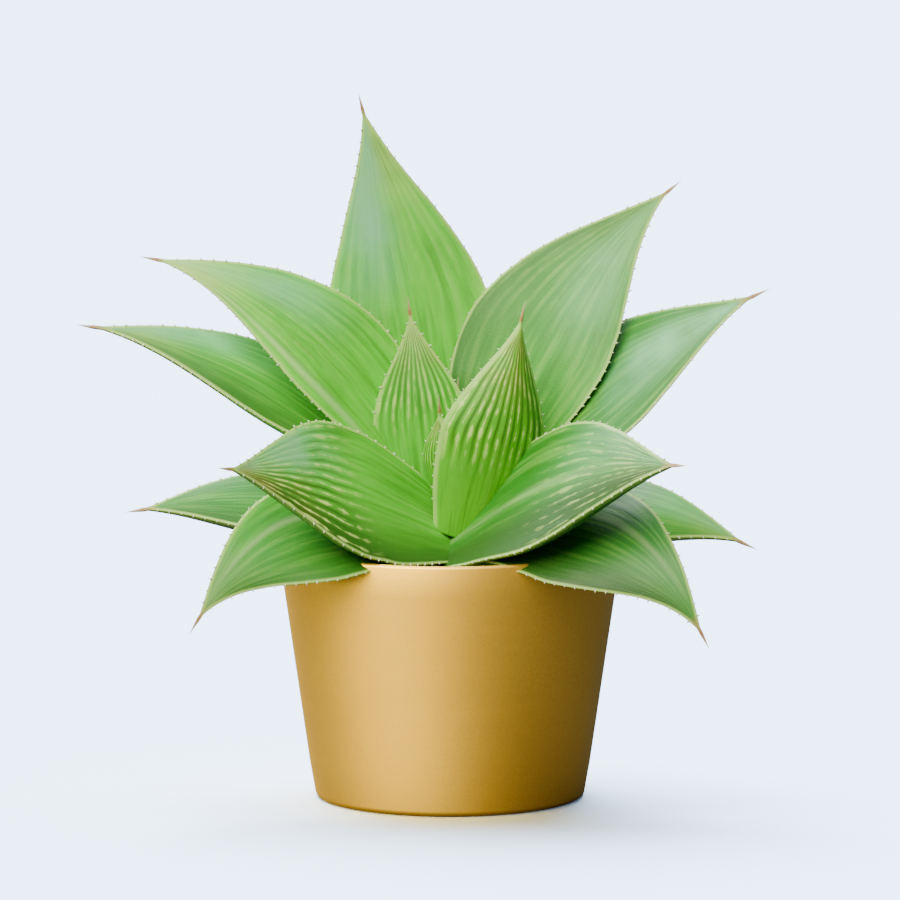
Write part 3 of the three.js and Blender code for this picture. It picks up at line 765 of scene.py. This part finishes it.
def makePebbleTree():
    form = pebbleForm
    tree, node, given = newTree("loosePebbles", pebbleInputs)

    # Large stones lie like the seeds of a sunflower, so that they spread evenly.
    line = node("MeshLine", {"Count": given["Large Stones"]})
    index = node("InputIndex")
    angle = node("Math MULTIPLY", index, form["turnStep"])
    share = node("Math DIVIDE", node("Math ADD", index, 0.5), given["Large Stones"])
    innerSquare = node("Math POWER", given["Inner Radius"], 2.0)
    outerSquare = node("Math POWER", given["Outer Radius"], 2.0)
    square = node("Mix", share, {2: innerSquare, 3: outerSquare})
    reach = node("Math SQRT", square)
    largeEast = node("Math MULTIPLY", node("Math COSINE", angle), reach)
    largeNorth = node("Math MULTIPLY", node("Math SINE", angle), reach)
    largeHeight = node("Math MULTIPLY_ADD", given["Large Size"], form["stand"], given["Bed Height"])
    largeSpot = node("CombineXYZ", largeEast, largeNorth, largeHeight)
    largeAt = node("SetPosition", line, {"Position": largeSpot})
    largeAt = node("StoreNamedAttribute", largeAt, {"Name": "stoneSize", "Value": given["Large Size"]})

    # Small stones fill the bed between them, a few layers deep.
    disc = node("MeshCircle", {"Vertices": 64, "Radius": given["Outer Radius"]}, fill_type="TRIANGLE_FAN")
    layers = node("MeshLine", {"Count": given["Layers"], "Offset": (0, 0, 1.0)})
    stack = node("InstanceOnPoints", layers, {"Instance": disc})
    stack = node("RealizeInstances", stack)
    scatter = node("DistributePointsOnFaces", stack, {
        "Distance Min": given["Spacing"], "Density Max": form["density"], "Seed": given["Seed"]},
        distribute_method="POISSON")
    spot = node("InputPosition")
    east, north, layer = node("SeparateXYZ", spot).outputs
    flat = node("CombineXYZ", east, north)
    fromMiddle = node("VectorMath LENGTH", flat).outputs["Value"]
    inHole = node("Math LESS_THAN", fromMiddle, given["Inner Radius"])
    scatter = node("DeleteGeometry", scatter, {"Selection": inHole})
    layerRise = node("Math MULTIPLY", layer, given["Small Size"])
    smallHeight = node("Math ADD", layerRise, given["Bed Height"])
    smallSpot = node("CombineXYZ", east, north, smallHeight)
    smallAt = node("SetPosition", scatter, {"Position": smallSpot})

    smallAt = node("StoreNamedAttribute", smallAt, {"Name": "stoneSize", "Value": given["Small Size"]})
    both = node("JoinGeometry", largeAt)
    feed(both, node("PointsToVertices", smallAt))
    sizeHere = node("InputNamedAttribute", {"Name": "stoneSize"})
    smallest, largest = form["sizes"]
    sizes = node("RandomValue", {2: smallest, 3: largest, "Seed": given["Seed"]})
    scale = node("Math MULTIPLY", sizeHere, sizes.outputs[1])
    flatness = node("RandomValue", form["flattest"], form["fullest"], {"Seed": 3}, **vector)
    stoneScale = node("VectorMath SCALE", flatness, {"Scale": scale})
    tip = form["tip"]
    turned = node("RandomValue", (-tip, -tip, 0.0), (tip, tip, math.tau), {"Seed": 8}, **vector)
    ball = node("MeshIcoSphere", {"Radius": 1.0, "Subdivisions": 2})
    stones = node("InstanceOnPoints", both, {"Instance": ball, "Rotation": turned, "Scale": stoneScale})
    tint = node("RandomValue", {"Seed": 21})
    own = {"domain": "INSTANCE"}
    stones = node("StoreNamedAttribute", stones, {"Name": "stoneTint", "Value": tint.outputs[1]}, **own)
    stones = node("StoreNamedAttribute", stones, {"Name": "stoneMiddle", "Value": spot}, **own, **vector)
    stones = node("RealizeInstances", stones)

    # Wear: noise pushes every stone in or out from its own middle.
    stoneMiddle = node("InputNamedAttribute", {"Name": "stoneMiddle"}, **vector)
    fromStone = node("VectorMath SUBTRACT", spot, stoneMiddle)
    worn = node("TexNoise", spot, {"Scale": 1 / form["hollows"], "Detail": 2.0})
    push = node("MapRange", worn, *form["wearFade"])
    pushed = node("VectorMath SCALE", fromStone, {"Scale": push})
    stones = node("SetPosition", stones, {"Offset": pushed})
    stones = node("SetShadeSmooth", stones)
    stones = node("RealizeInstances", stones)
    node("GroupOutput", node("SetMaterial", stones, {"Material": given["Material"]}))
    return tree


# Gravel: river pebbles in warm greys, beige and a dull pink, matt and slightly pitted.
gravel = {
    "inner": 10.5, "edge": 0.9, "rise": 0.6, "large": 44, "layers": 2, "seed": 11,
    "largeSize": 1.9 * mm, "smallSize": 1.3 * mm, "spacing": 1.55 * mm,
    "shades": ["#776c5b", "#a0937a", "#bcae90", "#a08779", "#cdc2aa"],
    "mottle": 1.429 * mm, "mottleFade": (0.4, 0.7, 0, 0.45),
    "grain": 0.5 * mm, "roughness": (0.65, 0.9), "bump": 0.6, "relief": 0.15 * mm,
}
crumbs = {
    "holeGap": 0.8, "outer": 11, "sunk": 0.1, "large": 14, "layers": 1, "seed": 4,
    "size": 0.9 * mm, "spacing": 1.5 * mm,
}


def makeGravelMaterial():
    material, node = newMaterial("riverPebble")
    here = node("TexCoord").outputs["Object"]
    tint = node("Attribute", attribute_name="stoneTint")
    ramp = node("ValToRGB", tint.outputs["Fac"])
    stops = ramp.color_ramp.elements
    shades = gravel["shades"]
    stops[0].color, stops[1].color = linear(shades[0]), linear(shades[-1])
    for number in range(1, len(shades) - 1):
        stops.new(number / (len(shades) - 1)).color = linear(shades[number])
    mottle = node("TexNoise", here, {"Scale": 1 / gravel["mottle"], "Detail": 4.0})
    shade = node("MapRange", mottle, *gravel["mottleFade"])
    colour = node("Mix", shade, {6: ramp, 7: linear(shades[0])}, **rgba)
    grainedSkin(material, node, here, colour, gravel)
    return material


pebbleTree = makePebbleTree()
bedHeight = (soil["top"] + soil["clearance"]) * mm
gravelPiece = growPiece("pebbleGravel", pebbleTree, {
    "Inner Radius": gravel["inner"] * mm, "Outer Radius": (soilOuter - gravel["edge"]) * mm,
    "Bed Height": bedHeight + gravel["rise"] * mm, "Large Stones": gravel["large"],
    "Large Size": gravel["largeSize"], "Small Size": gravel["smallSize"], "Spacing": gravel["spacing"],
    "Layers": gravel["layers"], "Seed": gravel["seed"], "Material": makeGravelMaterial(),
})
place(gravelPiece, "gravel")
crumbPiece = growPiece("pottingCrumbs", pebbleTree, {
    "Inner Radius": (soil["holeRadius"] + crumbs["holeGap"]) * mm, "Outer Radius": crumbs["outer"] * mm,
    "Bed Height": (soil["top"] - crumbs["sunk"]) * mm, "Large Stones": crumbs["large"],
    "Large Size": crumbs["size"], "Small Size": crumbs["size"] / 2, "Spacing": crumbs["spacing"],
    "Layers": crumbs["layers"], "Seed": crumbs["seed"], "Material": soilMaterial,
})
place(crumbPiece, None)
print("soil and gravel laid")


# Stem: a short green stub with the scars of shed leaves round it, corky towards the soil.
stem = {
    "foot": 28, "top": 52.5, "radius": 5, "tipRadius": 3, "topRadius": 1.8, "shoulder": 1, "segments": 64,
    "footRounding": 0.4, "topRounding": 0.2, "scarPitch": 1.5, "scarDepth": 0.22, "scarSteps": 5,
    "green": "#6f8f3f", "cork": "#7d6a48", "corkSize": 3.846 * mm, "corkHeight": (48 * mm, 37 * mm),
    "corkFade": (0.1, 0.45), "grain": 0.6 * mm, "roughness": (0.55, 0.8), "bump": 0.5, "relief": 0.2 * mm,
}


def makeStemMaterial():
    material, node = newMaterial("corkyStem")
    here = node("TexCoord").outputs["Object"]
    height = node("SeparateXYZ", here).outputs["Z"]
    patches = node("TexNoise", here, {"Scale": 1 / stem["corkSize"], "Detail": 3.0})
    low = node("MapRange", height, *stem["corkHeight"])
    share = node("Math MULTIPLY", low, patches)
    cork = node("MapRange", share, *stem["corkFade"])
    colour = node("Mix", cork, {6: linear(stem["green"]), 7: linear(stem["cork"])}, **rgba)
    grainedSkin(material, node, here, colour, stem)
    return material


footRadius = stem["radius"] - stem["footRounding"]
profile = [(0, stem["foot"]), (footRadius, stem["foot"])]
profile.append((stem["radius"], stem["foot"] + stem["footRounding"]))
shoulderHeight = stem["top"] - stem["shoulder"]
steps = int((shoulderHeight - soil["top"]) / stem["scarPitch"] * stem["scarSteps"])
for step in range(steps + 1):
    share = step / steps
    scar = (step % stem["scarSteps"]) / stem["scarSteps"]
    radius = stem["radius"] + (stem["tipRadius"] - stem["radius"]) * share
    profile.append((radius - stem["scarDepth"] * scar, soil["top"] + (shoulderHeight - soil["top"]) * share))
profile += [(stem["topRadius"], stem["top"] - stem["topRounding"]), (0, stem["top"])]
stemPiece = turnedPiece("leafScarStem", profile, stem["segments"], makeStemMaterial())
place(stemPiece, "stem")
print("stem turned")


# Stage: a pale paper sweep. The camera sees it evenly lit; what bounces off it is toned down, as it would
# be in a studio with dark surroundings.
stage = {
    "size": 14.0, "paper": (1.08, 1.46, 2.09, 1.0), "glow": (0.08, 0.11, 0.15, 1.0), "bounce": "#3a3d40",
    "sky": "#dfe6ee", "skyStrength": 0.12,
}

floorMaterial, node = newMaterial("paperSweep")
seenByCamera = node("LightPath").outputs["Is Camera Ray"]
bounce = node("BsdfDiffuse", {"Color": linear(stage["bounce"])})
paper = node("BsdfDiffuse", {"Color": stage["paper"]})
glow = node("Emission", {"Color": stage["glow"]})
seen = node("AddShader", paper, glow)
floorShade = node("MixShader", seenByCamera, bounce, seen)
feed(floorMaterial.node_tree.nodes["Material Output"], {"Surface": floorShade})
half = stage["size"] / 2
floorMesh = bpy.data.meshes.new("floor")
floorMesh.from_pydata([(-half, -half, 0), (half, -half, 0), (half, half, 0), (-half, half, 0)], [],
                      [(0, 1, 2, 3)])
floorMesh.materials.append(floorMaterial)
floor = newObject("floor", floorMesh)

# Four broad lights. A warm window at the front left and a cool one overhead are flagged off the floor, a
# top light is there for the floor alone and keeps the shadow close round the foot, and a low strip lights
# only the pot, for the soft band down its left side.
lights = {
    "windowLight": {"from": (-0.3, -0.6, 0.74), "strength": 6.2, "spread": 50, "tint": "#fff4e6"},
    "skyLight": {"from": (-0.38, 0.58, 0.72), "strength": 7.5, "spread": 50, "tint": "#f4f8ff"},
    "topLight": {"from": (-0.15, 0.44, 0.88), "strength": 12.7, "spread": 60, "tint": "#fbf8f4"},
    "potStrip": {"from": (-0.67, -0.74, 0.03), "strength": 14.4, "spread": 66, "tint": "#fff266"},
}
flags = {
    "windowLight": (floor, "EXCLUDE"), "skyLight": (floor, "EXCLUDE"), "topLight": (floor, "INCLUDE"),
    "potStrip": (potPiece, "INCLUDE"),
}
for name, light in lights.items():
    lamp = bpy.data.lights.new(name, "SUN")
    lamp.energy = light["strength"]
    lamp.angle = math.radians(light["spread"])
    lamp.color = linear(light["tint"])[:3]
    lampObject = newObject(name, lamp)
    lampObject.rotation_euler = Vector(light["from"]).to_track_quat("Z", "Y").to_euler()
    piece, state = flags[name]
    receivers = bpy.data.collections.new(name + "Receivers")
    receivers.objects.link(piece)
    receivers.collection_objects[0].light_linking.link_state = state
    lampObject.light_linking.receiver_collection = receivers

world = bpy.data.worlds.new("studio")
world.use_nodes = True
feed(world.node_tree.nodes["Background"], {"Color": linear(stage["sky"]), "Strength": stage["skyStrength"]})
bpy.context.scene.world = world
print("stage lit")
